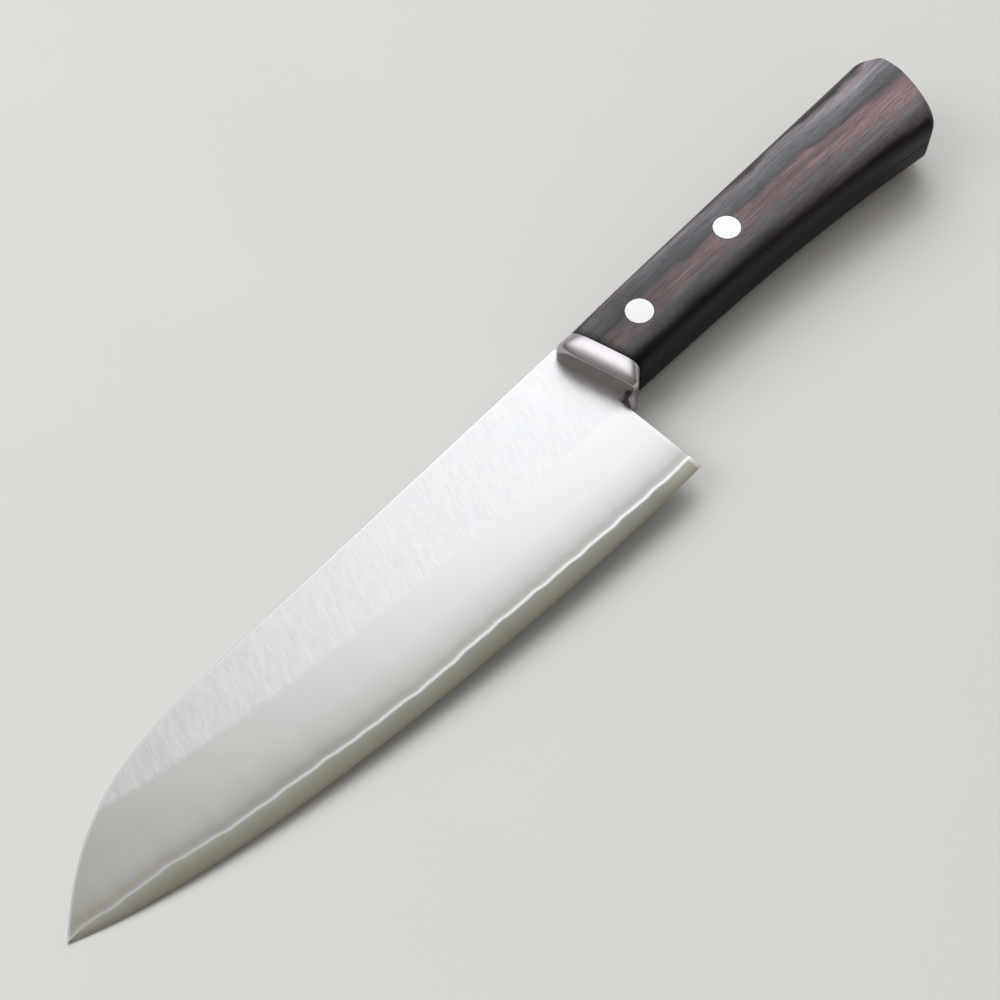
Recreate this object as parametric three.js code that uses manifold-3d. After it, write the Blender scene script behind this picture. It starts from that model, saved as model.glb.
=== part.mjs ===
import * as THREE from 'three';
import { mergeVertices } from 'three/addons/utils/BufferGeometryUtils.js';
import Module from 'manifold-3d';

// Lengths are in mm. X runs from the heel to the tip, Y from the spine to the edge, Z out of the left side.
// X = 0 is the heel, Y = 0 lies at the spine, Z = 0 is the middle plane of the blade.

// Blade outline
const tipReach = 168.7;
const tipY = 24;
const edgeAtHeel = 45.5;
const spineAtHeel = -0.75;
const spineStraight = 98;
const spineFall = 1.35;
const spineLead = 33.4;
const tipLead = 30;
const tipSteep = THREE.MathUtils.degToRad(48.5);
const bellyShare = 0.777;
const tipPower = 7.4;

// Blade section
const bladeThickness = 1.8;
const coreThickness = 0.56;
const bevelHeight = 23.6;
const coreStrip = 4.7;
const edgeBevelHeight = 0.6;
const edgeBevelThickness = 0.2;

// Neck and tang
const neckBack = 1.7;
const neckFront = 2;
const neckBottom = 20.2;
const tangLength = 66;
const tangHeight = 13.5;
const tangEndHeight = 10.5;
const tangCorner = 2;

// Handle outline
const buttX = -120.3;
const gripTop = 0.6;
const gripTopRise = 2.3;
const gripBottom = 19.8;
const gripFlare = 7.9;
const flarePower = 2.3;
const gripThickness = 16;
const frontThinning = 0.85;
const thinningLength = 20;
const spineSidePower = 4.2;
const edgeSidePower = 6;
const buttMiddle = 4;
const buttTopRound = 6;
const buttBottomRound = 9;
const buttPower = 1.6;
const buttEdgeRound = 1.45;
const buttEdgePower = 4;

// Bolster
const seamX = -5.8;
const noseX = 0.3;
const noseRound = 0.4;
const noseLength = 2.6;
const noseSpineRound = 3.4;
const crownX = -2.9;
const crownRise = 0.3;
const crownFrontFall = 0.95;
const lipFlare = 3.4;
const lipRun = 4.3;
const lipWaist = 0.45;
const lipSpread = 0.7;
const bolsterSlant = THREE.MathUtils.degToRad(12);

// Rivets
const frontRivetInset = 12.5;
const frontRivetY = 9.95;
const rearRivetInset = 16.8;
const rearRivetY = 9.35;
const rivetHead = 7.2;
const rivetSeat = 4.6;
const shankDiameter = 5;
const pinDiameter = 3;
const pinGap = 0.4;

// Fits
const rivetFit = 0.04;
const tangFit = 0.3;
const slotFit = 0.05;
const glueLine = 0.06;
const seamGap = 0.12;

// Mesh fineness
const ringCount = 44;
const gripSteps = 34;
const gripCrowding = 1.9;
const noseSteps = 9;
const noseCrowding = 2.2;
const seamOverlap = 4;
const groundSteps = 44;
const roundCount = 28;
const reach = 400;

const wasm = await Module();
wasm.setup();

const edgeBevelHalf = edgeBevelThickness / 2;
const bladeHalf = bladeThickness / 2;
const coreHalf = coreThickness / 2;
const gripHalf = gripThickness / 2;
const seamHalf = gripHalf - frontThinning;
const gripMiddle = (gripTop + gripBottom) / 2;
const tangEnd = -neckBack - tangLength;
const gripLength = seamX - buttX;
const frontRivetX = seamX - frontRivetInset;
const rearRivetX = tangEnd + rearRivetInset;

// A closed geometry as a solid for cutting and joining.
function solid(geometry) {
  geometry.deleteAttribute('normal');
  geometry.deleteAttribute('uv');
  const merged = mergeVertices(geometry, 1e-5);
  const vertProperties = new Float32Array(merged.attributes.position.array);
  const triVerts = new Uint32Array(merged.index.array);
  return new wasm.Manifold(new wasm.Mesh({ numProp: 3, vertProperties, triVerts }));
}

// A solid as a named mesh with its own material.
function piece(name, body, color, roughness, metalness) {
  const mesh = body.getMesh();
  const geometry = new THREE.BufferGeometry();
  geometry.setAttribute('position', new THREE.BufferAttribute(new Float32Array(mesh.vertProperties), 3));
  geometry.setIndex(new THREE.BufferAttribute(new Uint32Array(mesh.triVerts), 1));
  geometry.computeVertexNormals();
  const material = new THREE.MeshStandardMaterial({ color, roughness, metalness });
  const node = new THREE.Mesh(geometry, material);
  node.name = name;
  return node;
}

function box(x0, x1, y0, y1, z0, z1) {
  const geometry = new THREE.BoxGeometry(x1 - x0, y1 - y0, z1 - z0);
  geometry.translate((x0 + x1) / 2, (y0 + y1) / 2, (z0 + z1) / 2);
  return solid(geometry);
}

// A round bar along Z.
function bar(x, y, diameter, z0, z1) {
  const geometry = new THREE.CylinderGeometry(diameter / 2, diameter / 2, z1 - z0, roundCount);
  geometry.rotateX(Math.PI / 2);
  geometry.translate(x, y, (z0 + z1) / 2);
  return solid(geometry);
}

// A flat outline given a thickness in Z, from z0 to z1.
function plate(shape, z0, z1) {
  const geometry = new THREE.ExtrudeGeometry(shape, {
    depth: z1 - z0,
    bevelEnabled: false,
    curveSegments: 20,
  });
  geometry.translate(0, 0, z0);
  return solid(geometry);
}

// Moves every point of a geometry by a function of its place.
function reshape(geometry, move) {
  const position = geometry.attributes.position;
  const point = new THREE.Vector3();
  for (let i = 0; i < position.count; i += 1) {
    point.fromBufferAttribute(position, i);
    move(point);
    position.setXYZ(i, point.x, point.y, point.z);
  }
  return geometry;
}

// Place of the cutting edge: nearly straight at the heel, swept up to the tip.
function edgeY(x) {
  const share = THREE.MathUtils.clamp(x / tipReach, 0, 1.02);
  const sweep = bellyShare * share ** 2 + (1 - bellyShare) * share ** tipPower;
  return edgeAtHeel + (tipY - edgeAtHeel) * sweep;
}

// Quarter of a rounded corner: 1 before it starts, falling to 0 at its end.
function rounded(share, power) {
  const held = THREE.MathUtils.clamp(share, 0, 0.998);
  return (1 - held ** power) ** (1 / power);
}

// Back of the neck at a height, slanted like the bolster.
function neckBackX(y) {
  return -neckBack - (y - gripMiddle) * Math.tan(bolsterSlant);
}

// Blade blank: spine, neck and heel, and past the edge by the depth that the grind takes off.
const spineSlope = spineFall / spineStraight;
const spineEnd = spineAtHeel + spineFall;
const blank = new THREE.Shape();
blank.moveTo(tipReach, tipY);
blank.bezierCurveTo(
  tipReach - tipLead * Math.cos(tipSteep),
  tipY - tipLead * Math.sin(tipSteep),
  spineStraight + spineLead,
  spineEnd + spineLead * spineSlope,
  spineStraight,
  spineEnd,
);
blank.lineTo(neckBackX(spineAtHeel), spineAtHeel + neckBackX(spineAtHeel) * spineSlope);
blank.lineTo(neckBackX(neckBottom), neckBottom);
blank.lineTo(0, neckBottom);
blank.lineTo(0, edgeAtHeel + 1);
blank.lineTo(tipReach, edgeAtHeel + 1);

// Tang outline, grown by a clearance for the pockets and the bolster slot.
function tangShape(grow) {
  const front = neckFront;
  const back = tangEnd - grow;
  const high = tangHeight / 2 + grow;
  const low = tangEndHeight / 2 + grow;
  const turn = tangCorner + grow;
  const shape = new THREE.Shape();
  shape.moveTo(front, gripMiddle + high);
  shape.lineTo(back + turn, gripMiddle + low);
  shape.quadraticCurveTo(back, gripMiddle + low, back, gripMiddle + low - turn);
  shape.lineTo(back, gripMiddle - low + turn);
  shape.quadraticCurveTo(back, gripMiddle - low, back + turn, gripMiddle - low);
  shape.lineTo(front, gripMiddle - high);
  return shape;
}

// Ground bar: the blade's section, straight along X, then moved to follow the cutting edge.
const section = new THREE.Shape();
section.moveTo(0, 0);
section.lineTo(edgeBevelHalf, edgeBevelHeight);
section.lineTo(coreHalf, coreStrip);
section.lineTo(bladeHalf, bevelHeight);
section.lineTo(bladeHalf, reach);
section.lineTo(-bladeHalf, reach);
section.lineTo(-bladeHalf, bevelHeight);
section.lineTo(-coreHalf, coreStrip);
section.lineTo(-edgeBevelHalf, edgeBevelHeight);
const barStart = tangEnd - 5;
const groundBar = new THREE.ExtrudeGeometry(section, {
  depth: tipReach + 2 - barStart,
  steps: groundSteps,
  bevelEnabled: false,
});
reshape(groundBar, (p) => {
  const x = barStart + p.z;
  p.set(x, edgeY(x) - p.y, p.x);
});

// Handle and bolster share one section: round on the spine side, nearly square on the edge side,
// with a flat cheek on each face that spans three steps of the ring.
function ovalReach(value, power) {
  return Math.sign(value) * (Math.abs(value) / Math.cos(Math.PI / ringCount)) ** (2 / power);
}
const cheekTurn = (3 * Math.PI) / ringCount;
const cheekReach = ovalReach(Math.cos(cheekTurn), spineSidePower);
const ringPoints = [];
for (let i = 0; i < ringCount; i += 1) {
  const turn = ((i + 0.5) / ringCount) * 2 * Math.PI;
  const onCheek = Math.abs(Math.cos(turn)) < Math.sin(0.9 * cheekTurn);
  const power = Math.cos(turn) < 0 ? spineSidePower : edgeSidePower;
  const across = ovalReach(Math.cos(turn), power);
  const up = THREE.MathUtils.clamp(ovalReach(Math.sin(turn), power) / cheekReach, -1, 1);
  if (!onCheek) {
    ringPoints.push(new THREE.Vector2(across, up));
  }
}
const oval = new THREE.Shape(ringPoints);

// Handle body from ahead of the seam to the butt: thinner towards the bolster,
// with closer stations at the rounded end.
const gripFront = seamX + seamOverlap;
const gripBody = new THREE.ExtrudeGeometry(oval, { depth: 1, steps: gripSteps, bevelEnabled: false });
reshape(gripBody, (p) => {
  const share = 1 - (1 - p.z) ** gripCrowding;
  const x = gripFront + (buttX - gripFront) * share;
  const along = Math.max(0, (seamX - x) / gripLength);
  const top = gripTop - gripTopRise * along;
  const bottom = gripBottom + gripFlare * along ** flarePower;
  const topTurn = rounded(1 - (x - buttX) / buttTopRound, buttPower);
  const topNow = buttMiddle + (top - buttMiddle) * topTurn;
  const bottomTurn = rounded(1 - (x - buttX) / buttBottomRound, buttPower);
  const bottomNow = buttMiddle + (bottom - buttMiddle) * bottomTurn;
  const thin = frontThinning * THREE.MathUtils.clamp(1 - (seamX - x) / thinningLength, 0, 1) ** 2;
  const half = (gripHalf - thin) * rounded(1 - (x - buttX) / buttEdgeRound, buttEdgePower);
  p.set(x, (topNow + bottomNow) / 2 + ((bottomNow - topNow) / 2) * p.x, -half * p.y);
});

// Bolster body: the same section run forward to a flat front, rounded at the spine, with a low crown
// and a lower corner that flares out to a lip, narrower at the blade; then slanted.
const bolsterBack = seamX - seamOverlap;
const noseBody = new THREE.ExtrudeGeometry(oval, { depth: 1, steps: noseSteps, bevelEnabled: false });
reshape(noseBody, (p) => {
  const share = 1 - (1 - p.z) ** noseCrowding;
  const x = bolsterBack + (noseX - bolsterBack) * share;
  const inset = noseRound * (1 - rounded((x - noseX + noseRound) / noseRound, 2));
  const spineInset = noseSpineRound * (1 - rounded((x - noseX + noseLength) / noseLength, 2));
  const rear = crownRise * ((crownX - Math.min(x, crownX)) / (crownX - seamX)) ** 2;
  const front = crownFrontFall * ((Math.max(x, crownX) - crownX) / (noseX - crownX)) ** 2;
  const half = seamHalf + crownRise - rear - front - inset;
  const waist = lipWaist + (1 - lipWaist) * Math.abs(p.y);
  const flare = lipFlare * THREE.MathUtils.clamp((x - seamX) / lipRun, 0, 1) * waist;
  const lip = flare * THREE.MathUtils.smoothstep(p.x, 0, lipSpread);
  const y = ((gripBottom - gripTop) / 2 - (p.x < 0 ? spineInset : inset)) * p.x + lip;
  p.set(x - y * Math.tan(bolsterSlant), gripMiddle + y, half * p.y);
});

// Slanted half space behind the bolster.
function behind(x) {
  const geometry = new THREE.BoxGeometry(reach, reach, reach);
  geometry.translate(x - reach / 2, 0, 0);
  reshape(geometry, (p) => {
    p.x -= p.y * Math.tan(bolsterSlant);
    p.y += gripMiddle;
  });
  return solid(geometry);
}

const ground = solid(groundBar);
const blankOutline = plate(blank, -bladeHalf, bladeHalf).intersect(ground);
const wholeBlade = blankOutline.add(plate(tangShape(0), -bladeHalf, bladeHalf));
const rivetHoles = bar(frontRivetX, frontRivetY, shankDiameter + 2 * rivetFit, -reach, reach)
  .add(bar(rearRivetX, rearRivetY, shankDiameter + 2 * rivetFit, -reach, reach));
const drilledBlade = wholeBlade.subtract(rivetHoles);
const core = drilledBlade.intersect(box(-reach, reach, -reach, reach, -coreHalf, coreHalf));
const leftCladding = drilledBlade.intersect(box(-reach, reach, -reach, reach, coreHalf, reach));
const rightCladding = drilledBlade.intersect(box(-reach, reach, -reach, reach, -reach, -coreHalf));

const slotHalf = bladeHalf + slotFit;
const neckSlot = box(-reach, reach, -reach, reach, -slotHalf, slotHalf)
  .subtract(behind(-neckBack - slotFit));
const bolster = solid(noseBody)
  .subtract(behind(seamX))
  .subtract(plate(tangShape(tangFit), -slotHalf, slotHalf))
  .subtract(neckSlot);

const grip = solid(gripBody);
const pocketHalf = bladeHalf + glueLine;
const headHoles = bar(frontRivetX, frontRivetY, rivetHead + 2 * rivetFit, rivetSeat, reach)
  .add(bar(rearRivetX, rearRivetY, rivetHead + 2 * rivetFit, rivetSeat, reach))
  .add(bar(frontRivetX, frontRivetY, rivetHead + 2 * rivetFit, -reach, -rivetSeat))
  .add(bar(rearRivetX, rearRivetY, rivetHead + 2 * rivetFit, -reach, -rivetSeat));
const hollowGrip = grip
  .intersect(behind(seamX - seamGap))
  .subtract(plate(tangShape(tangFit), -pocketHalf, pocketHalf))
  .subtract(rivetHoles)
  .subtract(headHoles);
const leftScale = hollowGrip.intersect(box(-reach, reach, -reach, reach, glueLine / 2, reach));
const rightScale = hollowGrip.intersect(box(-reach, reach, -reach, reach, -reach, -glueLine / 2));

// Rivet halves: the socket's hollow shank goes through the handle and takes the pin from the right.
function socketHalf(x, y) {
  const head = bar(x, y, rivetHead, rivetSeat, reach).intersect(grip);
  const shank = bar(x, y, shankDiameter, -rivetSeat + pinGap, rivetSeat + pinGap);
  const bore = bar(x, y, pinDiameter + 2 * rivetFit, -reach, rivetSeat - pinGap);
  return head.add(shank).subtract(bore);
}

function pinHalf(x, y) {
  const head = bar(x, y, rivetHead, -reach, -rivetSeat).intersect(grip);
  const pin = bar(x, y, pinDiameter, -rivetSeat - pinGap, rivetSeat - 2 * pinGap);
  return head.add(pin);
}

const group = new THREE.Group();
group.name = 'santoku_knife';
group.add(piece('blade_core', core, 0x7f8583, 0.32, 1));
group.add(piece('blade_cladding_right', rightCladding, 0xc4c7c9, 0.38, 1));
group.add(piece('blade_cladding_left', leftCladding, 0xc4c7c9, 0.38, 1));
group.add(piece('bolster', bolster, 0xd2d3d4, 0.16, 1));
group.add(piece('scale_right', rightScale, 0x2b1a18, 0.42, 0));
group.add(piece('scale_left', leftScale, 0x2b1a18, 0.42, 0));
group.add(piece('front_rivet_socket', socketHalf(frontRivetX, frontRivetY), 0xdcdddd, 0.2, 1));
group.add(piece('front_rivet_pin', pinHalf(frontRivetX, frontRivetY), 0xdcdddd, 0.2, 1));
group.add(piece('rear_rivet_socket', socketHalf(rearRivetX, rearRivetY), 0xdcdddd, 0.2, 1));
group.add(piece('rear_rivet_pin', pinHalf(rearRivetX, rearRivetY), 0xdcdddd, 0.2, 1));

// The origin goes to the middle of the underside.
const extent = new THREE.Box3().setFromObject(group);
const middle = extent.getCenter(new THREE.Vector3());
group.position.set(-middle.x, -middle.y, -extent.min.z);

export default group;
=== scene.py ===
import math

import bmesh
import bpy
import numpy as np
from mathutils import Euler, Matrix, Vector


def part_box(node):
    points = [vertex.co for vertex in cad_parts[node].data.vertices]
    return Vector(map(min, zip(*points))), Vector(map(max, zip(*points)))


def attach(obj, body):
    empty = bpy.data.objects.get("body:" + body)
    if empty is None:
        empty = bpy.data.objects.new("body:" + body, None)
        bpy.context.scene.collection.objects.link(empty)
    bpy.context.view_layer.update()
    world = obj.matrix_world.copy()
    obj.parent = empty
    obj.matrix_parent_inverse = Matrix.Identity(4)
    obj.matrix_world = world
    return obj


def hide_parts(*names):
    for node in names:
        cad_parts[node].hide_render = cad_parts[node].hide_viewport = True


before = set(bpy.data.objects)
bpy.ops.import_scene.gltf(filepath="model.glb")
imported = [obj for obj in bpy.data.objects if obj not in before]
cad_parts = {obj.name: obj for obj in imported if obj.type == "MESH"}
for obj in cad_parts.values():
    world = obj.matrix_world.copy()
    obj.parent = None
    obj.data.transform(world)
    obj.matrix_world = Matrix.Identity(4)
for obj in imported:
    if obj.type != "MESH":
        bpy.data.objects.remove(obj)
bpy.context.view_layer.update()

# Knife lengths are in mm. X runs from the heel to the tip, Y from the spine to the edge,
# Z out of the left side, and X = 0 is the heel.

# Blade outline
tip_reach = 168.7
tip_y = 24.0
edge_at_heel = 45.5
spine_at_heel = -0.75
spine_straight = 98.0
spine_fall = 1.35
spine_lead = 33.4
tip_lead = 30.0
tip_steep = math.radians(48.5)
belly_share = 0.777
tip_power = 7.4

# Blade section: a limit is the largest share that a form takes of the room it has
blade_half = 0.9
core_half = 0.28
shinogi_height = 23.6
clam_bulge = 0.45
strip_bulge = 0.5
spine_ease = 0.2
edge_bevel = 0.6
edge_bevel_half = 0.1
edge_half = 0.015
heel_ease_run = 0.8
heel_ease_depth = 0.06
heel_ease_fade = 3.0
heel_ease_limit = 0.8
core_ease_limit = 0.7
spine_ease_limit = 0.1
near_lip_limit = 0.25
shinogi_limit = 0.97
edge_bevel_limit = 0.15
thin_tip_height = 6.0
thin_tip_share = 0.1

# Lamination line: places along the blade, its height above the edge there, and ripples by height and length
strip_places = (0, 10, 20, 36, 54, 66, 80, 92, 98, 104, 118, 130, 144, 150, 158, 163, 168.7)
strip_heights = (
    3.0, 3.2, 3.55, 3.95, 4.4, 4.4, 3.75, 4.1, 3.95, 4.35, 4.4, 4.15, 4.55, 3.85, 2.4, 2.1, 0.0,
)
strip_ripples = ((0.10, 9.5), (0.06, 5.3))
strip_smoothing = 6.0
strip_limit = 0.45

# Ridge and hollow beside the lamination line: rise, distance above the line and width
lip_waves = ((0.016, 0.32, 0.3), (-0.012, 1.5, 0.9))

# Points across the blade: above the lamination line in mm, then as shares, and turns of the eased spine
near_lip_steps = np.array([0, 0.03, 0.08, 0.15, 0.23, 0.32, 0.42, 0.54, 0.7, 0.9, 1.2, 1.6])
bevel_reach = 1 - 1 / 180
flat_steps = np.array([0.006, 0.1, 0.3, 0.5, 0.75, 0.95, 0.98, 1.0])
edge_steps = np.array([0, 0.2, 0.45, 0.7, 1.0])
spine_turns = np.radians([22.5, 45, 67.5, 90])

# Points along the blade and across it: start of the tip's zone, numbers, powers by which they crowd
tip_zone = 140.0
heel_count = 8
heel_crowding = 1.5
middle_count = 150
tip_count = 70
bevel_count = 26
bevel_crowding = 1.25
strip_count = 14

# Neck and tang
neck_back = 1.7
neck_top = -9.0
neck_bottom = 20.2
neck_blend = 2.0
neck_gap = 0.2
spine_blend = 1.0
tang_end = -67.7
tang_half = 6.75
tang_end_half = 5.25
tang_corner = 2.0
tang_steps = np.array([0, 0.15, 0.5, 1.0, 2.0, 30.0])

# Handle outline
butt_x = -120.3
seam_x = -5.8
seam_gap = 0.12
grip_top = 0.6
grip_top_rise = 2.3
grip_bottom = 19.8
grip_flare = 7.9
flare_power = 2.3
grip_half = 8.0
front_thinning = 0.85
thinning_length = 20.0
spine_side_power = 4.2
edge_side_power = 6.0
butt_middle = 4.0
butt_top_round = 6.0
butt_bottom_round = 9.0
butt_power = 1.6
butt_edge_round = 1.45
butt_edge_power = 4.0

# Scales: the glued face with its pocket, the eased front edge, the groove, places of the sections
glue_half = 0.03
tang_clear = 0.3
pocket_half = 0.96
slant_run = 16.0
seam_round = 0.3
seam_round_run = 0.5
groove_depth = 0.09
groove_width = 0.12
groove_fade = 3.0
seam_steps = np.array([0, 0.04, 0.1, 0.18, 0.3, 0.5])
plain_start = 1.4
plain_step = 1.3
butt_zone = 12.0
butt_count = 64
butt_crowding = 2.4
rivet_zone = 4.2
plain_clear = 4.3
rivet_step = 0.24

# Bolster: its front, crown, edge-side lip and slant, numbers of sections
nose_x = 0.3
nose_round = 0.4
nose_length = 2.6
spine_round = 3.4
crown_x = -2.9
crown_rise = 0.3
front_fall = 0.7
corner_ease = 1.5
lip_flare = 3.4
lip_run = 4.3
lip_waist = 0.45
lip_spread = 0.7
slant = math.tan(math.radians(12))
nose_count = 14
body_count = 40

# Rivets: places, depth and rim of the sunk wood under the head, the head's rim by radius and drop
front_rivet = (-18.3, 9.95)
rear_rivet = (-50.9, 9.35)
rivet_sink = 0.05
rivet_sink_rim = (2.6, 3.3)
head_flat = 3.3
head_count = 12
head_proud = 0.012
head_rim = ((3.42, 0.004), (3.5, 0.02), (3.55, 0.055), (3.58, 0.12))
rivet_seat = 4.6
shank_radius = 2.5
socket_end = -4.2
pin_radius = 1.5
pin_end = -3.8

# Tones: lean of the ground lines, stretches along the knife where a tone changes, most of them for painted
# highlights, painted shade and painted sheen, and painted shade lines in the wood
brush_lean = math.radians(17.6)
tip_shade_lift_run = (115, 145)
tip_warm_reflection_run = (50, 165)
heel_glint_run = (0.4, 1.4)
heel_highlight_run = (2, 14)
tip_pale_run = (60, 160)
wood_sheen_x = -105
seam_shadow_run = (0.6, 2.6)
ring_shadow_run = (3.58, 3.72)

# Room: direction of its glow, colours, height at which the wall's mirror image fades
glow_toward = (-0.55, -0.38, 0.74)
warm_dim = (1.04, 1.0, 0.92, 1)
cool_glow = (0.975, 0.99, 1.03, 1)
wall_colour = (0.7, 0.7, 0.69, 1)
wall_fade = (0.2, 0.4)

# Floor in mm, light panels in degrees and metres
floor_half = 2500
floor_lines = 11
rest_sink = 0.005
rest_ahead = 60
panel_elevation = 45
panel_distance = 1.6
panel_size = (1.2, 1.0)

# Camera: lens in mm, clipping in metres, the point it looks at and its distance in mm, its angles in degrees
lens_length = 57.6
lens_sensor = 36.0
lens_range = (0.01, 20)
camera_aim = (37.66, 17.73, 0)
camera_distance = 363.2
camera_azimuth = 47.28
camera_elevation = 61.75
camera_roll = -3.94

# Mesh: points round a section, distance in metres at which points are merged, angle of a sharp edge
scale_points = 150
bolster_points = 281
rivet_points = 96
merge_distance = 2e-8
sharp_angle = math.radians(32)

grip_middle = (grip_top + grip_bottom) / 2
grip_tall = (grip_bottom - grip_top) / 2
seam_half = grip_half - front_thinning
core_low, core_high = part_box("blade_core")
heel_zero = np.array([
    core_high.x * 1000 - tip_reach,
    core_high.y * 1000 - edge_at_heel,
    (core_low.z + core_high.z) * 500,
])


def to_row(points):
    """Knife millimetres to the row's metres: the heel's zero is added, and the sum divided by 1000."""
    return (np.asarray(points) + heel_zero) / 1000


def row_x(x):
    """A knife length along X in the row's metres."""
    return (x + heel_zero[0]) / 1000


def row_y(y):
    """A knife length along Y in the row's metres."""
    return (y + heel_zero[1]) / 1000


def edge_line(x):
    """Y of the cutting edge: heel value plus the rise to the tip times a mix of a square and a high power
    of x."""
    share = np.clip(x / tip_reach, 0, 1)
    sweep = belly_share * share**2 + (1 - belly_share) * share**tip_power
    return edge_at_heel + (tip_y - edge_at_heel) * sweep


def spine_line(x):
    """Y of the spine: a straight fall, then one cubic curve from its end to the tip, read off at x."""
    t = np.linspace(0, 1, 4001)
    fall = spine_fall / spine_straight
    straight_end = spine_at_heel + spine_fall
    weights = ((1 - t)**3, 3 * (1 - t)**2 * t, 3 * (1 - t) * t**2, t**3)
    lead_x, lead_y = spine_straight + spine_lead, straight_end + spine_lead * fall
    near_x, near_y = tip_reach - tip_lead * math.cos(tip_steep), tip_y - tip_lead * math.sin(tip_steep)
    curve_x = sum(w * h for w, h in zip(weights, (spine_straight, lead_x, near_x, tip_reach)))
    curve_y = sum(w * h for w, h in zip(weights, (straight_end, lead_y, near_y, tip_y)))
    return np.where(x < spine_straight, spine_at_heel + fall * x, np.interp(x, curve_x, curve_y))


def strip_line(x):
    """Height of the lamination line above the edge: its heights joined by straight runs and averaged over a
    short run, with ripples as sines of x, held under a share of the blade's height."""
    window = np.linspace(-strip_smoothing / 2, strip_smoothing / 2, 25)
    near = np.clip(np.add.outer(x, window), 0, tip_reach)
    line = np.interp(near, strip_places, strip_heights).mean(axis=-1)
    ripple = sum(height * np.sin(2 * math.pi * x / length) for height, length in strip_ripples)
    return np.minimum(line + ripple, strip_limit * (edge_line(x) - spine_line(x)))


def quarter_round(share, power):
    """Quarter of a rounded corner: (1 - share^power)^(1/power), 1 before it starts and 0 at its end."""
    return (1 - np.clip(share, 0, 1)**power)**(1 / power)


def smooth_step(low, high, value):
    """0 below low, 1 above high, and 3t^2 - 2t^3 between them."""
    t = np.clip((value - low) / (high - low), 0, 1)
    return t * t * (3 - 2 * t)


def bell(value, middle, width):
    """A bump of height 1: exp(-((value - middle) / width)^2)."""
    return np.exp(-(((value - middle) / width)**2))


def loft(name, rings, finish, facts=None):
    """A closed skin over rings of points, given as an array of rings, points and xyz in mm.
    Each ring is closed on itself, neighbours are joined by quads, and the two end rings are filled.
    The sign of the enclosed volume turns the faces outwards, and points that fall together are merged.
    Facts are values per point that the finish reads."""
    rows, columns = rings.shape[:2]
    points = to_row(rings.reshape(-1, 3))
    index = np.arange(rows * columns).reshape(rows, columns)
    following = np.roll(index, -1, axis=1)
    quads = np.stack([index[:-1], following[:-1], following[1:], index[1:]], axis=-1).reshape(-1, 4)
    start, end = index[0][::-1], index[-1]
    a, b, c, d = (points[quads[:, i]] for i in range(4))
    volume = (a * np.cross(b, c)).sum() + (a * np.cross(c, d)).sum()
    if volume < 0:
        quads, start, end = quads[:, ::-1], start[::-1], end[::-1]
    mesh = bpy.data.meshes.new(name)
    mesh.from_pydata(points.tolist(), [], quads.tolist() + [start.tolist(), end.tolist()])
    for label, values in (facts or {}).items():
        layer = mesh.attributes.new(label, "FLOAT", "POINT")
        layer.data.foreach_set("value", np.asarray(values, dtype=np.float32).ravel())
    work = bmesh.new()
    work.from_mesh(mesh)
    bmesh.ops.remove_doubles(work, verts=work.verts, dist=merge_distance)
    bmesh.ops.dissolve_degenerate(work, edges=work.edges, dist=merge_distance / 20)
    work.to_mesh(mesh)
    work.free()
    mesh.polygons.foreach_set("use_smooth", np.ones(len(mesh.polygons), dtype=bool))
    mesh.set_sharp_from_angle(angle=sharp_angle)
    mesh.materials.append(finish)
    piece = bpy.data.objects.new(name, mesh)
    bpy.context.scene.collection.objects.link(piece)
    return piece


def set_piece(piece, node):
    """The piece rides on the knife and stands for its solid, which is hidden."""
    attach(piece, "root")
    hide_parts(node)


# Blade pieces

def blade_stations():
    """Places along the blade: close at the heel's eased edge, even up to the tip's zone, and closing up
    with a square to the tip."""
    heel = heel_ease_run * np.linspace(0, 1, heel_count)**heel_crowding
    middle = np.linspace(heel_ease_run, tip_zone, middle_count)[1:]
    left = 1 - np.linspace(0, 1, tip_count)[1:]
    tip = tip_zone + (tip_reach - tip_zone) * (1 - left**2)
    return np.concatenate([heel, middle, tip])


def heel_ease(x, y):
    """How far the heel's corner is eased: deepest at x = 0, falling with a square to the end of its run,
    and only below the neck."""
    below_neck = smooth_step(neck_bottom, neck_bottom + heel_ease_fade, y)
    return heel_ease_depth * np.clip(1 - x / heel_ease_run, 0, 1)**2 * below_neck


def clad_surface(height, lip):
    """Half thickness of the clad side at a height above the edge: from the core's side at the lamination
    line it rises to the full half thickness at the shinogi as t + bulge*t*(1-t), with a low ridge along
    the lamination line and a shallow hollow above it."""
    t = np.clip((height - lip) / (shinogi_height - lip), 0, 1)
    waves = sum(rise * bell(height - lip, middle, width) for rise, middle, width in lip_waves)
    return core_half + (blade_half - core_half) * (t + clam_bulge * t * (1 - t)) + waves


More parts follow.
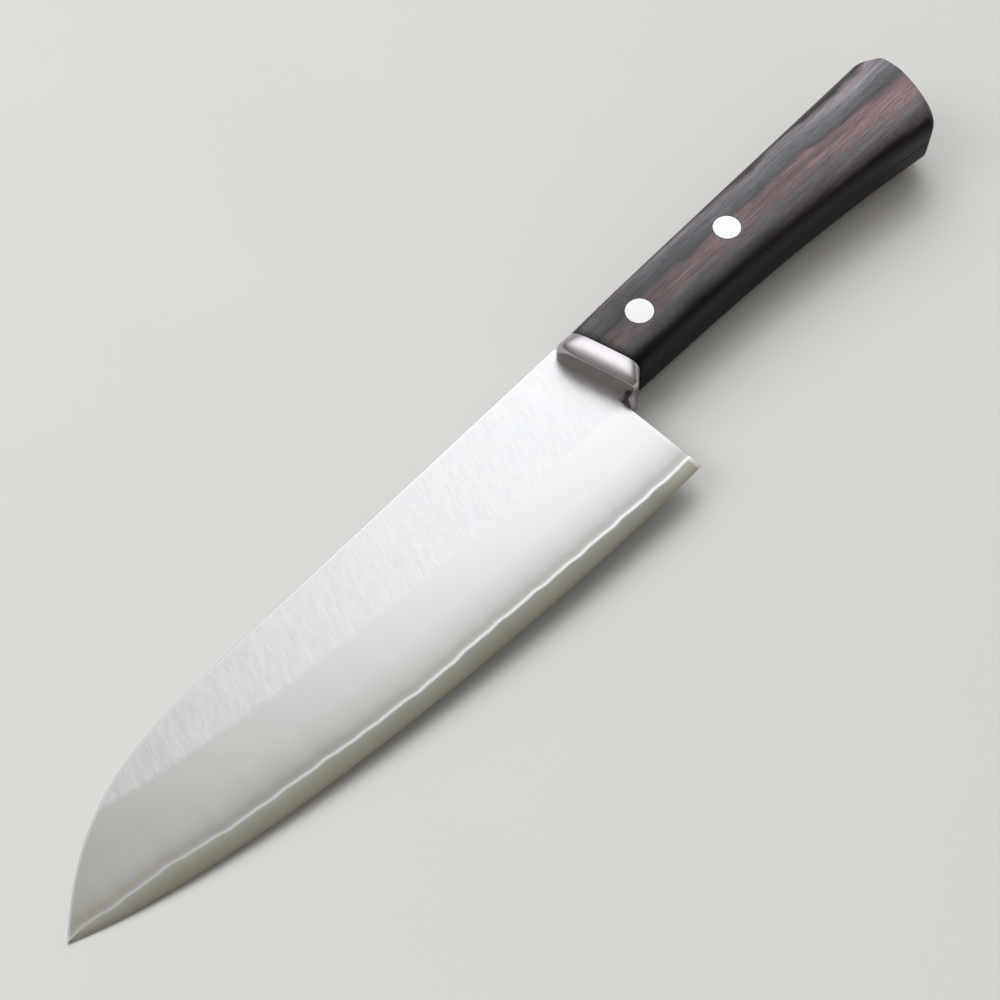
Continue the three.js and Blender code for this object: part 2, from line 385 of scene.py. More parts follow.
def with_tang(x, y, z, outside):
    """Adds the neck and the tang behind the heel: the heel's own ring held between the neck's or the tang's
    top and bottom, at each of their stations. Points outside that range close up on it. The neck's back
    slants with the bolster."""
    tang_x = np.append(tang_end + tang_steps, -neck_back)
    turn = np.clip((tang_end + tang_corner - tang_x) / tang_corner, 0, 1)
    half = np.interp(tang_x, (tang_end, -neck_back), (tang_end_half, tang_half))
    half = half - tang_corner * (1 - np.sqrt(1 - turn**2))
    places = np.append(tang_x, [-neck_back, 0.0])[:, None]
    top = np.append(grip_middle - half, [neck_top, neck_top])[:, None]
    bottom = np.append(grip_middle + half, [neck_bottom, neck_bottom])[:, None]
    back_y = np.clip(y[0], top, bottom)
    flat = np.where(outside, np.sign(z[0]) * blade_half, z[0])
    back_z = np.where((y[0] < top) | (y[0] > bottom - neck_blend), flat, z[0])
    back_z = np.where(outside & (y[0] > spine_blend), flat, back_z)
    slanted = np.minimum(places - (back_y - grip_middle) * slant, -neck_gap)
    at_neck = np.arange(len(places))[:, None] == len(tang_x)
    back_x = np.where(at_neck, slanted, places)
    front = np.stack([np.broadcast_to(x[:, None], y.shape), y, z], axis=-1)
    return np.concatenate([np.stack([back_x, back_y, back_z], axis=-1), front])


def for_rings(values, rings):
    """Values per point for the rings behind the heel too, which repeat the heel's own row."""
    behind = len(rings) - len(values)
    return np.concatenate([np.repeat(values[:1], behind, axis=0), values])


def cladding(name, side, finish):
    """One clad side, side being +1 for left: a ring at each station runs from the lamination line over the
    bevel, the shinogi and the flat, round the eased spine, and back down the face that lies on the core."""
    x = blade_stations()[:, None]
    edge, spine, lip = edge_line(x), spine_line(x), strip_line(x[:, 0])[:, None]
    tall = edge - spine
    ease = np.minimum(spine_ease, spine_ease_limit * tall)
    room = tall - ease - lip
    reach = near_lip_steps[-1]
    near_lip = lip + np.minimum(reach, near_lip_limit * room) / reach * near_lip_steps
    shinogi = np.minimum(shinogi_height, lip + shinogi_limit * room)
    start = near_lip[:, -1:]
    bevel_share = np.linspace(0, 1, bevel_count)[1:]**bevel_crowding
    over_bevel = start + (shinogi - start) * bevel_reach * bevel_share
    over_flat = shinogi + (tall - ease - shinogi) * flat_steps
    height = np.concatenate([near_lip, over_bevel, over_flat], axis=1)
    thick = clad_surface(height, lip)
    round_height = tall - ease + ease * np.sin(spine_turns)
    round_thick = thick[:, -1:] - ease * (1 - np.cos(spine_turns))
    height = np.concatenate([height, round_height], axis=1)
    thick = np.maximum(core_half, np.concatenate([thick, round_thick], axis=1))
    thick = thick - np.minimum(heel_ease(x, edge - height), heel_ease_limit * (thick - core_half))
    outside = np.append(np.ones(height.shape[1], dtype=bool), [False, False])
    height = np.concatenate([height, tall, lip], axis=1)
    thick = np.concatenate([thick, np.full((len(x), 2), core_half)], axis=1)
    rings = with_tang(x[:, 0], edge - height, side * thick, outside)
    return loft(name, rings, finish, {
        "above_edge": for_rings(height, rings),
        "above_lip": for_rings(height - lip, rings),
        "below_spine": for_rings(tall - height, rings),
    })


def core(name, finish):
    """The hard core: a ring at each station runs from the edge up the ground strip to the lamination line,
    straight up under the cladding to the spine, and down the other side. It thins with the blade's height
    at the tip."""
    x = blade_stations()[:, None]
    edge, spine, lip = edge_line(x), spine_line(x), strip_line(x[:, 0])[:, None]
    tall = edge - spine
    bevel = np.minimum(edge_bevel, edge_bevel_limit * lip)
    low = bevel * edge_steps
    t = np.linspace(0, 1, strip_count)[1:]
    strip = bevel + (lip - bevel) * t
    low_thick = edge_half + (edge_bevel_half - edge_half) * low / edge_bevel
    strip_thick = edge_bevel_half + (core_half - edge_bevel_half) * (t + strip_bulge * t * (1 - t))
    strip_thick = np.broadcast_to(strip_thick, strip.shape)
    height = np.concatenate([low, strip, tall], axis=1)
    thick = np.concatenate([low_thick, strip_thick, np.full_like(tall, core_half)], axis=1)
    thick = thick * np.minimum(1, thin_tip_share + tall / thin_tip_height)
    thick = np.maximum((1 - core_ease_limit) * thick, thick - heel_ease(x, edge - height))
    height = np.concatenate([height, height[:, ::-1]], axis=1)
    thick = np.concatenate([thick, -thick[:, ::-1]], axis=1)
    inside = np.zeros(height.shape[1], dtype=bool)
    rings = with_tang(x[:, 0], edge - height, thick, inside)
    rings[:len(rings) - len(x), :, 2] = np.sign(thick[0]) * core_half
    return loft(name, rings, finish, {"below_lip": for_rings(lip - height, rings)})


# Handle pieces

def side_power(across):
    """Power of the handle's section: low and round on the spine side, high and nearly square on the edge
    side."""
    return np.where(across < 0, spine_side_power, edge_side_power)


def section_ring(count, half_y, half_z, last_turn):
    """Points of |y|^p + |z|^p = 1 from turn 0 to last_turn, with p by side, spread evenly along their real
    length."""
    turn = np.linspace(0, last_turn, 12001)
    power = side_power(np.cos(turn))
    y = np.sign(np.cos(turn)) * np.abs(np.cos(turn))**(2 / power)
    z = np.sign(np.sin(turn)) * np.abs(np.sin(turn))**(2 / power)
    run = np.append(0, np.cumsum(np.hypot(np.diff(y) * half_y, np.diff(z) * half_z)))
    even = np.linspace(0, run[-1], count)
    return np.interp(even, run, y), np.interp(even, run, z)


def grip_outline(x):
    """Middle and half height of the handle and its half thickness at x: the top rises in a straight line,
    the bottom flares with a power of the distance, the sides thin towards the bolster with a square, and
    all close on the butt by quarter rounds."""
    along = np.maximum(0, (seam_x - x) / (seam_x - butt_x))
    top = grip_top - grip_top_rise * along
    bottom = grip_bottom + grip_flare * along**flare_power
    top_round = quarter_round(1 - (x - butt_x) / butt_top_round, butt_power)
    bottom_round = quarter_round(1 - (x - butt_x) / butt_bottom_round, butt_power)
    top = butt_middle + (top - butt_middle) * top_round
    bottom = butt_middle + (bottom - butt_middle) * bottom_round
    thin = front_thinning * np.clip(1 - (seam_x - x) / thinning_length, 0, 1)**2
    half = (grip_half - thin) * quarter_round(1 - (x - butt_x) / butt_edge_round, butt_edge_power)
    return (top + bottom) / 2, (bottom - top) / 2, half


def grip_surface(x, y):
    """Height of the handle's side over the middle plane at a place: the section's z at that y."""
    middle, tall, half = grip_outline(x)
    across = np.clip((y - middle) / tall, -1, 1)
    power = side_power(across)
    return half * (1 - np.abs(across)**power)**(1 / power)


def scale_stations():
    """Places along the handle from the seam to the butt: close at the seam, round both rivets and at the
    butt."""
    seam = seam_x - seam_gap - seam_steps
    plain = np.arange(seam_x - plain_start, butt_x + butt_zone, -plain_step)
    front = np.arange(front_rivet[0] - rivet_zone, front_rivet[0] + rivet_zone, rivet_step)
    rear = np.arange(rear_rivet[0] - rivet_zone, rear_rivet[0] + rivet_zone, rivet_step)
    butt = butt_x + butt_zone * np.linspace(1, 0, butt_count)**butt_crowding
    near_front = np.abs(plain - front_rivet[0]) <= plain_clear
    near_rear = np.abs(plain - rear_rivet[0]) <= plain_clear
    plain = plain[~(near_front | near_rear)]
    return np.sort(np.concatenate([seam, plain, front, rear, butt]))[::-1]


def scale(name, side, finish):
    """One wooden half of the handle, side being +1 for left: half an oval at each station, closed by the
    glued inner face with its pocket for the tang. The front end slants with the bolster, its edge is eased
    by a quarter circle, the wood is sunk under the rivet heads, and a fine groove runs where the halves
    meet."""
    station = scale_stations()[:, None]
    behind = seam_x - seam_gap - station
    across, out = section_ring(scale_points, grip_tall, grip_half, math.pi)
    fade = np.clip(1 - behind / slant_run, 0, 1)**2
    middle, tall, half = grip_outline(station)
    x = station - (middle + tall * across - grip_middle) * slant * fade
    middle, tall, half = grip_outline(x)
    seam_ease = seam_round * (1 - np.sqrt(1 - np.clip(1 - behind / seam_round_run, 0, 1)**2))
    z = np.maximum(glue_half, (half - seam_ease) * out)
    groove = groove_depth * bell(z, glue_half, groove_width) * np.minimum(1, tall / groove_fade)
    y = middle + np.sign(across) * np.maximum(0, (tall - seam_ease) * np.abs(across) - groove)
    for rivet_x, rivet_y in (front_rivet, rear_rivet):
        away = np.hypot(x - rivet_x, y - rivet_y)
        sunk = rivet_sink * (1 - smooth_step(*rivet_sink_rim, away))
        z = np.where(z > grip_half / 2, z - sunk, z)
    tang_room = tang_end - tang_clear
    pocket = np.interp(station, (tang_room, -neck_back), (tang_end_half, tang_half)) + tang_clear
    deep = np.where(station > tang_room, pocket_half, glue_half)
    high, low = y[:, -1:], y[:, :1]
    pocket_top = np.clip(grip_middle - pocket, high, low)
    pocket_bottom = np.clip(grip_middle + pocket, high, low)
    inner_y = np.concatenate([pocket_top, pocket_top, pocket_bottom, pocket_bottom], axis=1)
    flat = np.full_like(deep, glue_half)
    inner_z = np.concatenate([flat, deep, deep, flat], axis=1)
    inner_z = np.minimum(inner_z, np.maximum(glue_half, half[:, :1] / 2))
    inner_x = station - (inner_y - grip_middle) * slant * fade
    x = np.concatenate([x, inner_x], axis=1)
    y = np.concatenate([y, inner_y], axis=1)
    z = np.concatenate([z, inner_z], axis=1)
    return loft(name, np.stack([x, y, side * z], axis=-1), finish)


def bolster(name, finish):
    """The bolster: the handle's section from the slanted seam to a flat front. The crown falls to both
    sides with the square of the distance, a quarter circle turns it into the front, and a wider one rounds
    the spine's corner. The edge-side corner flares out in a straight line to a lip, widest at the sides
    and narrowest at the blade."""
    across, out = section_ring(bolster_points, grip_tall, seam_half, 2 * math.pi)
    across, out = across[:-1], out[:-1]
    turn = np.linspace(0, math.pi / 2, nose_count)[:, None]
    along = np.linspace(0, 1, body_count)[:-1, None]
    ease = nose_round + corner_ease * np.clip(-across, 0, 1)**2
    body = seam_x + (nose_x - ease - seam_x) * along
    station = np.concatenate([body, nose_x - ease * (1 - np.sin(turn))])
    inset = np.concatenate([np.zeros_like(body), ease * (1 - np.cos(turn))])
    spine_inset = spine_round * (1 - quarter_round((station - nose_x + nose_length) / nose_length, 2))
    rear = crown_rise * np.clip((crown_x - station) / (crown_x - seam_x), 0, 1)**2
    front = front_fall * np.clip((station - crown_x) / (nose_x - crown_x), 0, 1)**2
    waist = lip_waist + (1 - lip_waist) * np.abs(out)
    flare = np.clip((station - seam_x) / lip_run, 0, 1) * smooth_step(0, lip_spread, across)
    lip = lip_flare * flare * waist
    y = (grip_tall - np.where(across < 0, spine_inset, inset)) * across + lip
    z = (seam_half + crown_rise - rear - front - inset) * out
    x = station - y * slant
    return loft(name, np.stack([x, grip_middle + y, z], axis=-1), finish)


def rivet(name, place, side, shank, inner_end, finish):
    """One half of a rivet, turned about its axis: a head that follows the handle's crown with an eased rim,
    its seat, and the shank to its inner end."""
    turn = np.linspace(0, 2 * math.pi, rivet_points, endpoint=False)
    rim_radius, rim_drop = np.array(head_rim).T
    head = np.append(np.linspace(0, head_flat, head_count), rim_radius)
    drop = np.append(np.zeros(head_count), rim_drop)[:, None]
    radius = np.append(head, [rim_radius[-1], shank, shank, 0])[:, None]
    x = place[0] + radius * np.cos(turn)
    y = place[1] + radius * np.sin(turn)
    z = np.empty_like(x)
    z[:len(head)] = grip_surface(x[:len(head)], y[:len(head)]) + head_proud - drop
    z[len(head):] = np.array([rivet_seat, rivet_seat, inner_end, inner_end])[:, None]
    return loft(name, np.stack([x, y, side * z], axis=-1), finish)


# Finishes

def add(tree, kind, inputs=(), **settings):
    """Adds one shader node. Settings are its own fields, inputs are values or other nodes' outputs."""
    node = tree.nodes.new("ShaderNode" + kind)
    for field, value in settings.items():
        setattr(node, field, value)
    for socket, value in dict(inputs).items():
        if isinstance(value, bpy.types.NodeSocket):
            tree.links.new(value, node.inputs[socket])
        else:
            node.inputs[socket].default_value = value
    return node


def new_finish(name, **sockets):
    """A fresh material: its node tree and its shader, with the values that are the same all over it."""
    finish = bpy.data.materials.new(name)
    finish.use_nodes = True
    shader = finish.node_tree.nodes["Principled BSDF"]
    for socket, value in sockets.items():
        shader.inputs[socket.replace("_", " ")].default_value = value
    return finish, finish.node_tree, shader


def own_place(tree):
    """X, Y and Z on the piece, in metres."""
    place = add(tree, "TexCoord").outputs["Object"]
    return add(tree, "SeparateXYZ", {"Vector": place}).outputs


def fact(tree, name):
    """A value that the piece's points carry."""
    return add(tree, "Attribute", attribute_name=name).outputs["Fac"]


def streaks(tree, cells, detail=3.0, roughness=0.5, turn=0.0):
    """Noise on the piece's own coordinates, turned about Z and stretched by a number of cells per metre on
    each axis."""
    place = add(tree, "TexCoord").outputs["Object"]
    leant = add(tree, "VectorRotate", {"Vector": place, "Angle": turn}, rotation_type="Z_AXIS")
    lay = add(tree, "Mapping", {"Vector": leant.outputs[0], "Scale": cells}).outputs[0]
    inputs = {"Vector": lay, "Scale": 1.0, "Detail": detail, "Roughness": roughness}
    return add(tree, "TexNoise", inputs).outputs["Fac"]


def spread(tree, value, run, to, smooth=False):
    """Carries a value's run over to another one, both given by their two ends, and holds it beyond them."""
    kind = "SMOOTHSTEP" if smooth else "LINEAR"
    inputs = {"Value": value, "From Min": run[0], "From Max": run[1]}
    inputs |= {"To Min": to[0], "To Max": to[1]}
    return add(tree, "MapRange", inputs, interpolation_type=kind).outputs[0]


def between(tree, x, run, to, smooth=False):
    """The same for a stretch of the knife, given by its two ends in mm along X."""
    return spread(tree, x, (row_x(run[0]), row_x(run[1])), to, smooth)


def combine(tree, operation, a, b=0.0):
    """One value made from two by an operation, or from the first alone."""
    return add(tree, "Math", {0: a, 1: b}, operation=operation).outputs[0]


def times(tree, a, b):
    """The product of two values."""
    return combine(tree, "MULTIPLY", a, b)


def ramp(tree, value, stops):
    """A colour read off a row of stops, each a place from 0 to 1 and a colour."""
    node = add(tree, "ValToRGB", {"Fac": value})
    band = node.color_ramp
    while len(band.elements) < len(stops):
        band.elements.new(0.5)
    for element, (place, colour) in zip(band.elements, stops):
        element.position = place
        element.color = (*colour, 1)
    return node.outputs[0]


def tint(tree, colour, other, share=1.0):
    """A colour times another one, by a share."""
    inputs = {"Factor": share, 6: colour, 7: other}
    return add(tree, "Mix", inputs, data_type="RGBA", blend_type="MULTIPLY").outputs[2]


def shade(tree, colour, amount):
    """A colour times a grey amount."""
    return tint(tree, colour, add(tree, "CombineColor", {0: amount, 1: amount, 2: amount}).outputs[0])


def mixed(tree, share, a, b):
    """One colour going over to another by a share."""
    return add(tree, "Mix", {"Factor": share, 6: a, 7: b}, data_type="RGBA").outputs[2]


def blend(tree, share, a, b):
    """One value going over to another by a share."""
    return add(tree, "Mix", {"Factor": share, 2: a, 3: b}, data_type="FLOAT").outputs[0]


def bump(tree, shader, height, distance):
    """Fine relief of that depth in metres."""
    node = add(tree, "Bump", {"Height": height, "Distance": distance})
    tree.links.new(node.outputs[0], shader.inputs["Normal"])


def grey(value, warm=0.0):
    """A steel grey, a little warmer than neutral by warm."""
    return (value * (1 + warm), value * (1 + warm / 3), value * (1 - warm))


def brushed_cladding():
    """Clad side: lines ground slantwise across the flat above the shinogi that end raggedly there, satin
    below it, a band of painted shade over the lamination line that fades near the tip and lightens up the
    bevel, a painted highlight as a bright thread along it, a painted highlight as a bright rim along the
    spine, and a warmer tone towards the tip that is a painted reflection."""
    finish, tree, shader = new_finish("brushed_cladding", Metallic=1.0)
    above_edge, above_lip = fact(tree, "above_edge"), fact(tree, "above_lip")
    along = own_place(tree)["X"]
    fine = streaks(tree, (3400, 210, 0), roughness=0.65, turn=brush_lean)
    broad = streaks(tree, (520, 130, 0), detail=4.0, roughness=0.65, turn=brush_lean)
    cloud = streaks(tree, (170, 170, 0), detail=2.0)
    satin = streaks(tree, (1500, 160, 0), detail=4.0, roughness=0.6)
    ragged = combine(tree, "ADD", above_edge, times(tree, broad, 2.4))
    on_flat = spread(tree, ragged, (shinogi_height + 0.5, shinogi_height + 2.0), (0.0, 1.0))
    # Painted light in the band: a painted highlight as a bright thread just above the lamination line,
    # painted shade as a dark band over it, and tones rising up the bevel as painted shade.
    band = ramp(tree, spread(tree, above_lip, (0, 20), (0, 1)), (
        (0.0, grey(0.46, 0.02)), (0.009, grey(0.58, 0.01)), (0.032, grey(0.55, 0.01)),
        (0.055, grey(0.36, 0.03)), (0.1, grey(0.36, 0.03)), (0.18, grey(0.43, 0.02)),
        (0.3, grey(0.49, 0.015)), (0.5, grey(0.545)), (1.0, grey(0.56)),
    ))
    # The painted shade over the thread is lifted towards the tip.
    over_thread = spread(tree, above_lip, (0.7, 1.1), (0, 1))
    over_thread = times(tree, over_thread, spread(tree, above_lip, (2, 11), (1, 0)))
    shade_lift = times(tree, between(tree, along, tip_shade_lift_run, (0.0, 1.0), smooth=True), over_thread)
    band = shade(tree, band, spread(tree, shade_lift, (0, 1), (1.0, 1.22)))
    # A warmer tone towards the tip, a painted reflection of the warm surroundings.
    band = tint(tree, band, (1.0, 1.0, 0.96, 1), between(tree, along, tip_warm_reflection_run, (0.0, 1.0)))
    lines = combine(tree, "ADD", fine, times(tree, broad, 0.7))
    on_lines = spread(tree, lines, (0.6, 1.1), (0.85, 1.15))
    on_satin = spread(tree, satin, (0.3, 0.7), (0.985, 1.012))
    clouded = ramp(tree, cloud, (
        (0.35, (0.685, 0.70, 0.71)), (0.5, (0.70, 0.695, 0.712)), (0.65, (0.705, 0.703, 0.695)),
    ))
    colour = shade(tree, mixed(tree, on_flat, band, clouded), blend(tree, on_flat, on_satin, on_lines))
    # A painted highlight as a bright rim along the eased spine.
    rim = spread(tree, fact(tree, "below_spine"), (0.3, 0.7), (1.0, 0.0), smooth=True)
    tree.links.new(mixed(tree, rim, colour, (*grey(0.78), 1)), shader.inputs["Base Color"])
    rough_flat = spread(tree, lines, (0.6, 1.1), (0.36, 0.44))
    rough_satin = spread(tree, satin, (0.3, 0.7), (0.255, 0.275))
    tree.links.new(blend(tree, on_flat, rough_satin, rough_flat), shader.inputs["Roughness"])
    bump(tree, shader, blend(tree, on_flat, times(tree, satin, 0.04), lines), 0.000008)
    return finish


def ground_core():
    """Core strip: a darker, slightly green grey with fine grinding lines along it, paler towards the tip,
    and a painted highlight that makes it paler at the heel's end."""
    finish, tree, shader = new_finish("ground_core", Metallic=1.0)
    along = own_place(tree)["X"]
    lines = streaks(tree, (260, 2600, 0), detail=4.0, roughness=0.6)
    cloud = streaks(tree, (60, 160, 0))
    band = ramp(tree, spread(tree, fact(tree, "below_lip"), (0, 5), (0, 1)), (
        (0.0, (0.34, 0.34, 0.305)), (0.25, (0.29, 0.287, 0.242)),
        (0.7, (0.24, 0.233, 0.183)), (1.0, (0.225, 0.216, 0.168)),
    ))
    tone = spread(tree, combine(tree, "ADD", lines, cloud), (0.7, 1.3), (0.93, 1.06))
    # Painted highlight: paler over the heel's end, brightest at its very edge.
    tone = times(tree, tone, between(tree, along, heel_highlight_run, (1.35, 1.0), smooth=True))
    tone = times(tree, tone, between(tree, along, heel_glint_run, (1.6, 1.0), smooth=True))
    tone = times(tree, tone, between(tree, along, tip_pale_run, (1.0, 1.4)))
    tree.links.new(shade(tree, band, tone), shader.inputs["Base Color"])
    tree.links.new(spread(tree, lines, (0.3, 0.7), (0.44, 0.54)), shader.inputs["Roughness"])
    bump(tree, shader, lines, 0.000003)
    return finish


def polished_steel(name, tone, rough, cells):
    """Polished steel of a tone: a near mirror with faint buffing lines and a slightly uneven gloss."""
    finish, tree, shader = new_finish(name, Metallic=1.0)
    lines = streaks(tree, cells, roughness=0.55)
    cloud = streaks(tree, (140, 140, 140))
    dull = tuple(0.96 * share for share in tone)
    tree.links.new(ramp(tree, cloud, ((0.3, dull), (0.7, tone))), shader.inputs["Base Color"])
    uneven = spread(tree, combine(tree, "ADD", lines, cloud), (0.7, 1.3), (rough * 0.8, rough * 1.25))
    tree.links.new(uneven, shader.inputs["Roughness"])
    bump(tree, shader, lines, 0.0000015)
    return finish


def wood_layer(tree, place):
    """Where a point lies in the stack of wood layers, from 0 above the spine side to 1 below the edge side:
    its Y over the handle's own middle and half height there, with a slow wander that calms down at both
    sides."""
    back = between(tree, place["X"], (butt_x, seam_x), (1.0, 0.0))
    below = times(tree, combine(tree, "POWER", back, flare_power), grip_flare / 2000)
    above = times(tree, back, grip_top_rise / 2000)
    middle = combine(tree, "ADD", row_y(grip_middle), combine(tree, "SUBTRACT", below, above))
    tall = combine(tree, "ADD", grip_tall / 1000, combine(tree, "ADD", below, above))
    across = combine(tree, "DIVIDE", combine(tree, "SUBTRACT", place["Y"], middle), tall)
    calm = spread(tree, combine(tree, "ABSOLUTE", across), (0.7, 0.95), (0.7, 0.06), smooth=True)
    wander = combine(tree, "SUBTRACT", streaks(tree, (30, 90, 90), roughness=0.55), 0.5)
    return spread(tree, combine(tree, "ADD", across, times(tree, wander, calm)), (-1.25, 1.25), (0, 1))


def wood_shadows(tree, place):
    """Painted shade in the wood: a dark line along the slanted seam at the bolster, and a dark ring round
    each rivet head by distance from its axis."""
    lean = times(tree, combine(tree, "SUBTRACT", place["Y"], row_y(grip_middle)), slant)
    behind = combine(tree, "SUBTRACT", row_x(seam_x), combine(tree, "ADD", lean, place["X"]))
    tone = spread(tree, times(tree, behind, 1000), seam_shadow_run, (0.3, 1.0), smooth=True)
    over = add(tree, "CombineXYZ", {"X": place["X"], "Y": place["Y"]}).outputs[0]
    for x, y in (front_rivet, rear_rivet):
        centre = (row_x(x), row_y(y), 0)
        away = add(tree, "VectorMath", {0: over, 1: centre}, operation="DISTANCE").outputs["Value"]
        ring = spread(tree, times(tree, away, 1000), ring_shadow_run, (0.15, 1.0), smooth=True)
        tone = times(tree, tone, ring)
    return tone


def laminated_wood():
    """Dark laminated wood: reddish and dark layers that wander along the handle, fine lengthwise grain and
    pores, under a half-gloss that fades on the edge side. Painted light is mixed into the layers: a
    near-black rim on the spine side is a painted dark reflection, the pale lilac and grey-blue layers next
    to it carry painted sheen, the fall to near-black on the edge side is painted shade, and the wood is
    painted paler towards its end as sheen and darker at the bolster as shade."""
    finish, tree, shader = new_finish("laminated_wood", IOR=1.48)
    place = own_place(tree)
    layer = wood_layer(tree, place)
    # Layer colours: the reddish and dark layers are the wood's own; the near-black spine-side rim is a
    # painted dark reflection, the pale lilac and grey-blue layers carry painted sheen, and the fall to
    # near-black on the edge side is painted shade.
    layers = ramp(tree, layer, (
        (0.160, (0.016, 0.007, 0.004)), (0.192, (0.205, 0.170, 0.200)), (0.240, (0.170, 0.150, 0.172)),
        (0.295, (0.095, 0.099, 0.112)), (0.360, (0.070, 0.071, 0.082)), (0.405, (0.040, 0.035, 0.040)),
        (0.440, (0.180, 0.112, 0.120)), (0.570, (0.180, 0.112, 0.120)), (0.650, (0.100, 0.082, 0.090)),
        (0.750, (0.058, 0.049, 0.055)), (0.860, (0.009, 0.006, 0.007)),
    ))
    grain = streaks(tree, (70, 1300, 1300), detail=5.0, roughness=0.65)
    broad = streaks(tree, (34, 420, 420), roughness=0.55)
    pores = streaks(tree, (320, 4600, 4600), detail=2.0)
    tone = spread(tree, grain, (0.3, 0.72), (0.5, 1.4))
    tone = times(tree, tone, spread(tree, pores, (0.56, 0.66), (1.0, 0.5)))
    tone = times(tree, tone, spread(tree, broad, (0.3, 0.7), (0.65, 1.35)))
    # Painted sheen: paler towards the handle's end, with painted shade darker towards the bolster.
    tone = times(tree, tone, between(tree, place["X"], (wood_sheen_x, seam_x), (1.6, 0.65)))
    tone = times(tree, tone, wood_shadows(tree, place))
    tree.links.new(shade(tree, layers, tone), shader.inputs["Base Color"])
    tree.links.new(spread(tree, grain, (0.3, 0.7), (0.32, 0.44)), shader.inputs["Roughness"])
    tree.links.new(spread(tree, layer, (0.72, 0.9), (0.5, 0.1)), shader.inputs["Specular IOR Level"])
    relief = combine(tree, "ADD", grain, spread(tree, pores, (0.56, 0.66), (1.0, 0.4)))
    bump(tree, shader, relief, 0.000016)
    return finish


def pale_board():
    """The floor: pale, matt and almost even."""
    finish, tree, shader = new_finish("pale_board", Roughness=0.85, Specular_IOR_Level=0.2)
    cloud = streaks(tree, (9, 9, 9))
    board = ramp(tree, cloud, ((0.2, (0.845, 0.84, 0.83)), (0.8, (0.87, 0.865, 0.855))))
    tree.links.new(board, shader.inputs["Base Color"])
    return finish


clad_finish = brushed_cladding()
core_finish = ground_core()
bolster_finish = polished_steel("polished_bolster", (0.46, 0.44, 0.452), 0.2, (300, 2400, 2400))
rivet_finish = polished_steel("polished_rivet", (0.46, 0.46, 0.46), 0.18, (2200, 500, 500))
wood_finish = laminated_wood()

set_piece(core("hard_core", core_finish), "blade_core")
right_clad = cladding("right_cladding", -1, clad_finish)
set_piece(right_clad, "blade_cladding_right")
set_piece(cladding("left_cladding", 1, clad_finish), "blade_cladding_left")
set_piece(bolster("bolster_cap", bolster_finish), "bolster")
set_piece(scale("right_scale", -1, wood_finish), "scale_right")
set_piece(scale("left_scale", 1, wood_finish), "scale_left")
for name, node, place, side, shank, inner_end in (
    ("front_socket", "front_rivet_socket", front_rivet, 1, shank_radius, socket_end),
    ("front_pin", "front_rivet_pin", front_rivet, -1, pin_radius, pin_end),
    ("rear_socket", "rear_rivet_socket", rear_rivet, 1, shank_radius, socket_end),
    ("rear_pin", "rear_rivet_pin", rear_rivet, -1, pin_radius, pin_end),
):
    set_piece(rivet(name, place, side, shank, inner_end, rivet_finish), node)


# Floor, light and camera

def floor_under_knife():
    """The floor: a plane that carries the knife where it rests, on the bolster's underside and near the
    tip. Its rise along X is the smallest slope from the bolster's rest to any point of the right side well
    ahead of it."""
    rest_z = rest_sink - seam_half - crown_rise
    points = np.empty(len(right_clad.data.vertices) * 3)
    right_clad.data.vertices.foreach_get("co", points)
    points = points.reshape(-1, 3) * 1000 - heel_zero
    ahead = points[points[:, 0] > rest_ahead]
    rise = ((ahead[:, 2] - rest_z) / (ahead[:, 0] - crown_x)).min()
    line = np.linspace(-floor_half, floor_half, floor_lines)
    along, across = np.meshgrid(line, line, indexing="ij")
    corners = np.stack([along, across, rest_z + rise * (along - crown_x)], axis=-1)
    index = np.arange(floor_lines**2).reshape(floor_lines, floor_lines)
    quads = np.stack([index[:-1, :-1], index[1:, :-1], index[1:, 1:], index[:-1, 1:]], axis=-1)
    mesh = bpy.data.meshes.new("floor")
    mesh.from_pydata(to_row(corners.reshape(-1, 3)).tolist(), [], quads.reshape(-1, 4).tolist())
    mesh.materials.append(pale_board())
    floor = bpy.data.objects.new("floor", mesh)
    bpy.context.scene.collection.objects.link(floor)


def soft_panel(name, azimuth, power):
    """A soft light panel that faces the knife's middle from an azimuth in degrees. It isn't mirrored, so
    that it leaves no highlight on the polished pieces."""
    around, above = math.radians(azimuth), math.radians(panel_elevation)
    level = math.cos(above)
    toward = Vector((math.cos(around) * level, math.sin(around) * level, math.sin(above)))
    lamp = bpy.data.lights.new(name, "AREA")
    lamp.shape = "RECTANGLE"
    lamp.size, lamp.size_y = panel_size
    lamp.energy = power
    panel = bpy.data.objects.new(name, lamp)
    panel.location = toward * panel_distance
    panel.visible_glossy = False
    panel.rotation_mode = "QUATERNION"
    panel.rotation_quaternion = toward.to_track_quat("Z", "Y")
    bpy.context.scene.collection.objects.link(panel)


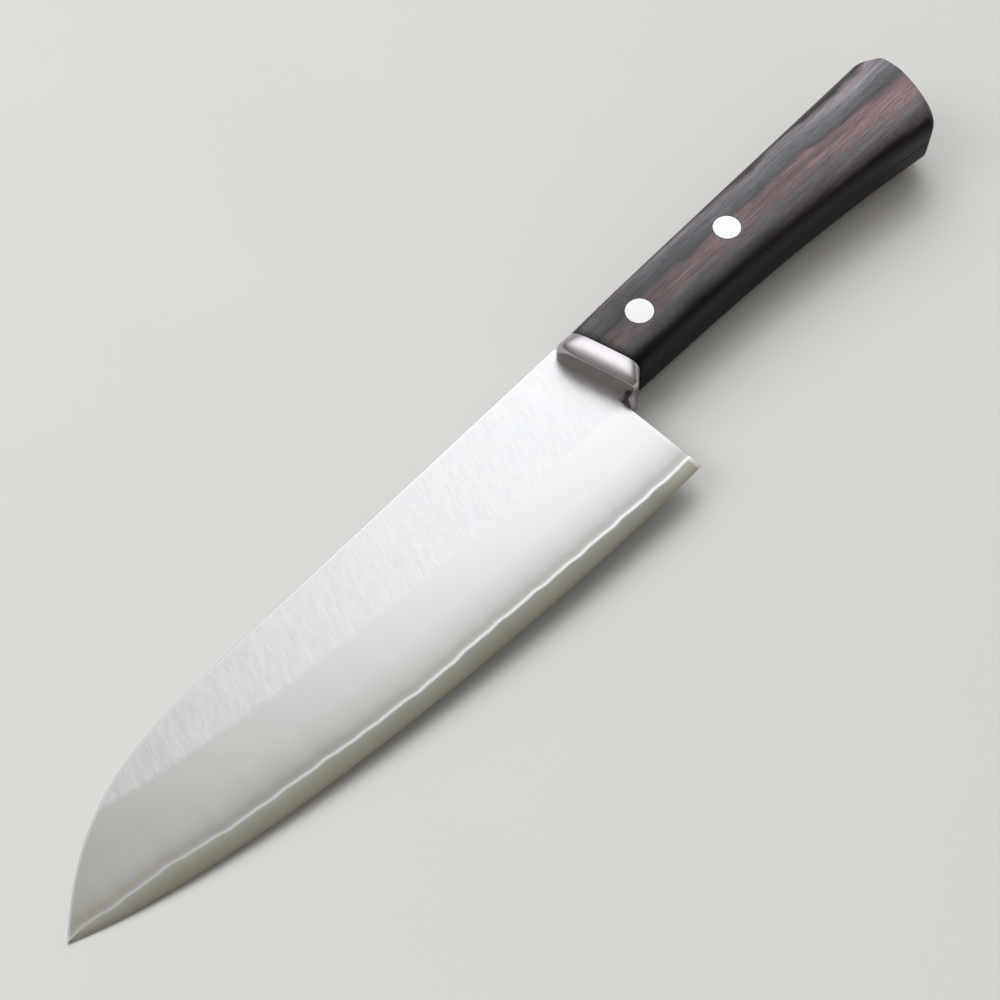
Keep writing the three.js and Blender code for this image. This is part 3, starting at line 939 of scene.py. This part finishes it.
def soft_room():
    """The room around: dim and warm, brighter overhead, with one broad, slightly cool glow above the
    handle's end that falls off with a power of the angle's cosine and fades towards the horizon and to the
    edge's side. The camera sees a pale wall past the floor, and the pieces mirror that wall near the
    horizon."""
    world = bpy.data.worlds.new("room")
    bpy.context.scene.world = world
    world.use_nodes = True
    tree = world.node_tree
    toward = add(tree, "TexCoord").outputs["Generated"]
    apart = add(tree, "SeparateXYZ", {"Vector": toward}).outputs
    up, side = apart["Z"], apart["Y"]
    dim = spread(tree, up, (0.0, 1.0), (0.20, 0.38))
    dim = times(tree, dim, spread(tree, side, (0.0, 0.7), (1.0, 0.75)))
    facing = add(tree, "VectorMath", {0: toward, 1: glow_toward}, operation="DOT_PRODUCT").outputs["Value"]
    glow = combine(tree, "POWER", spread(tree, facing, (0.6, 0.99), (0.0, 1.0)), 2.8)
    glow = times(tree, glow, spread(tree, up, (0.15, 0.60), (0.0, 1.95), smooth=True))
    glow = times(tree, glow, spread(tree, side, (-0.30, 0.08), (1.0, 0.12), smooth=True))
    inputs = {"Factor": 1.0, 6: shade(tree, warm_dim, dim), 7: shade(tree, cool_glow, glow)}
    room = add(tree, "Mix", inputs, data_type="RGBA", blend_type="ADD").outputs[2]
    path = add(tree, "LightPath").outputs
    mirrored = combine(tree, "MAXIMUM", path["Is Glossy Ray"], path["Is Transmission Ray"])
    mirrored = times(tree, mirrored, spread(tree, up, wall_fade, (1.0, 0.0), smooth=True))
    seen = combine(tree, "MAXIMUM", path["Is Camera Ray"], mirrored)
    tree.links.new(mixed(tree, seen, room, wall_colour), tree.nodes["Background"].inputs["Color"])


def photo_camera():
    """The camera at the photograph's angle: it looks at its aim from an azimuth and an elevation, and is
    rolled about its own axis."""
    lens = bpy.data.cameras.new("camera")
    lens.lens, lens.sensor_width = lens_length, lens_sensor
    lens.clip_start, lens.clip_end = lens_range
    camera = bpy.data.objects.new("camera", lens)
    tilt = Euler((math.radians(90 - camera_elevation), 0, math.radians(90 + camera_azimuth))).to_matrix()
    turn = tilt @ Matrix.Rotation(math.radians(camera_roll), 3, "Z")
    place = Vector(to_row(camera_aim)) + turn.col[2] * camera_distance / 1000
    camera.matrix_world = Matrix.Translation(place) @ turn.to_4x4()
    bpy.context.scene.collection.objects.link(camera)
    bpy.context.scene.camera = camera


floor_under_knife()
soft_panel("side_panel", 240, 5.6)
soft_panel("front_panel", 320, 6.1)
soft_room()
photo_camera()
bpy.context.scene.view_settings.view_transform = "Standard"
